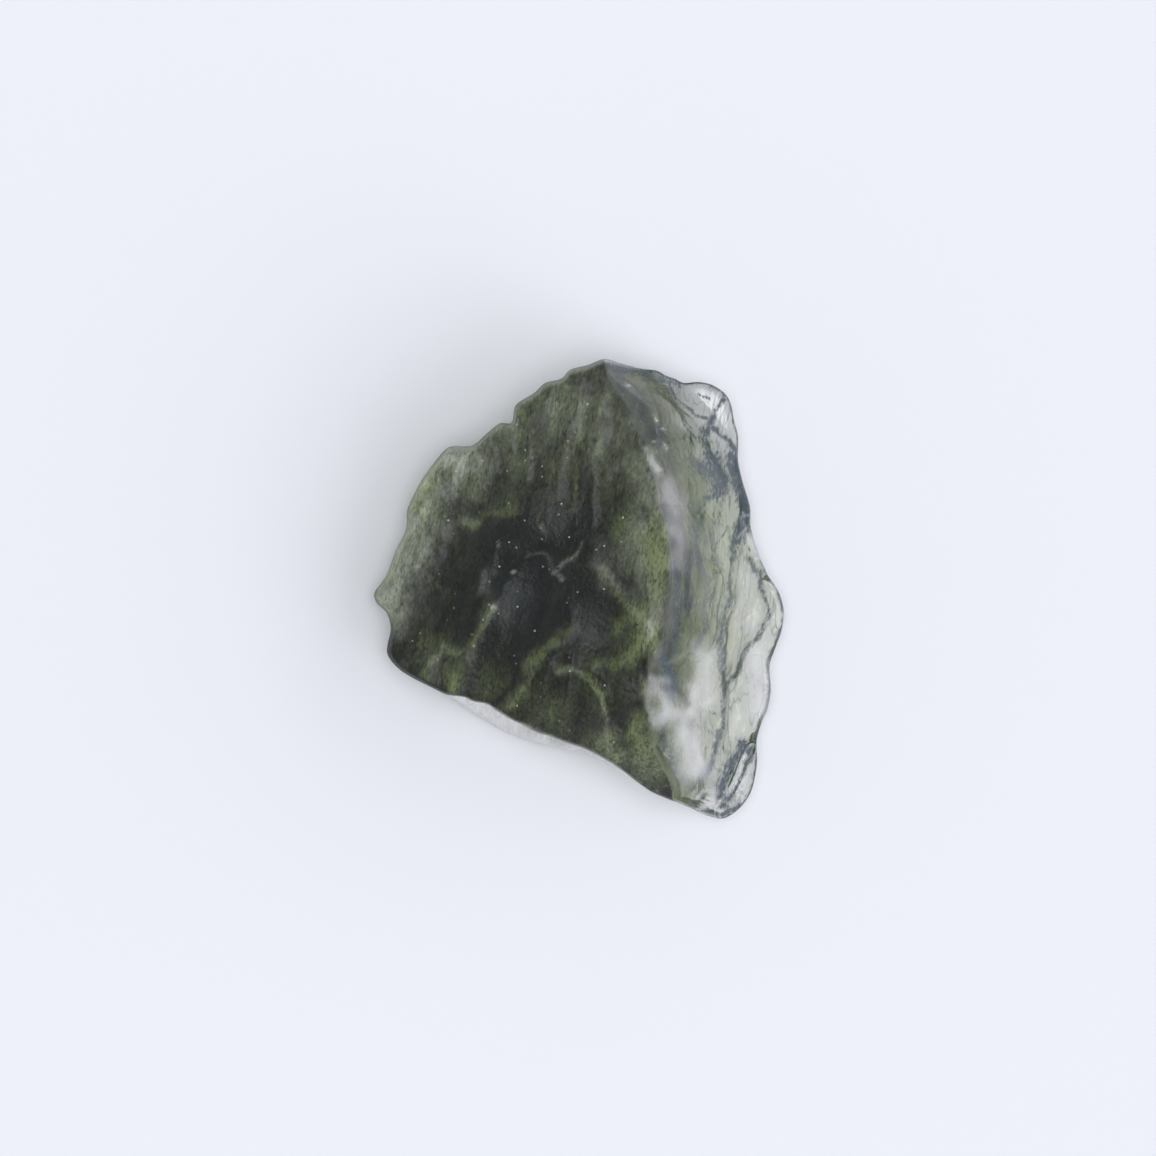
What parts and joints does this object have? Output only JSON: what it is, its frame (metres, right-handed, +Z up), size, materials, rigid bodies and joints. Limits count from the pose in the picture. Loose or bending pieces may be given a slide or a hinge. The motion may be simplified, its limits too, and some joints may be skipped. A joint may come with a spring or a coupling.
{
  "type": "moldavite",
  "caption": "Raw piece of olive-green natural glass, etched and dark on one side, with a bright fracture thinning to a flange, resting on a small flat spot.",
  "frame": {"origin": "on the plane of the rest spot, under the centre of the bounding box", "axes": "+Z up from the surface the stone rests on, +Y along its longest extent to the north peak, +X towards the thin clear flange"},
  "size_m": [0.0161, 0.018, 0.0068],
  "materials": {
    "moldavite_glass": "olive-green transparent glass, finely etched and satin on the natural skin, glossy on the eastern fracture"
  },
  "bodies": {
    "root": {"moldavite": "moldavite_glass"}
  },
  "joints": []
}
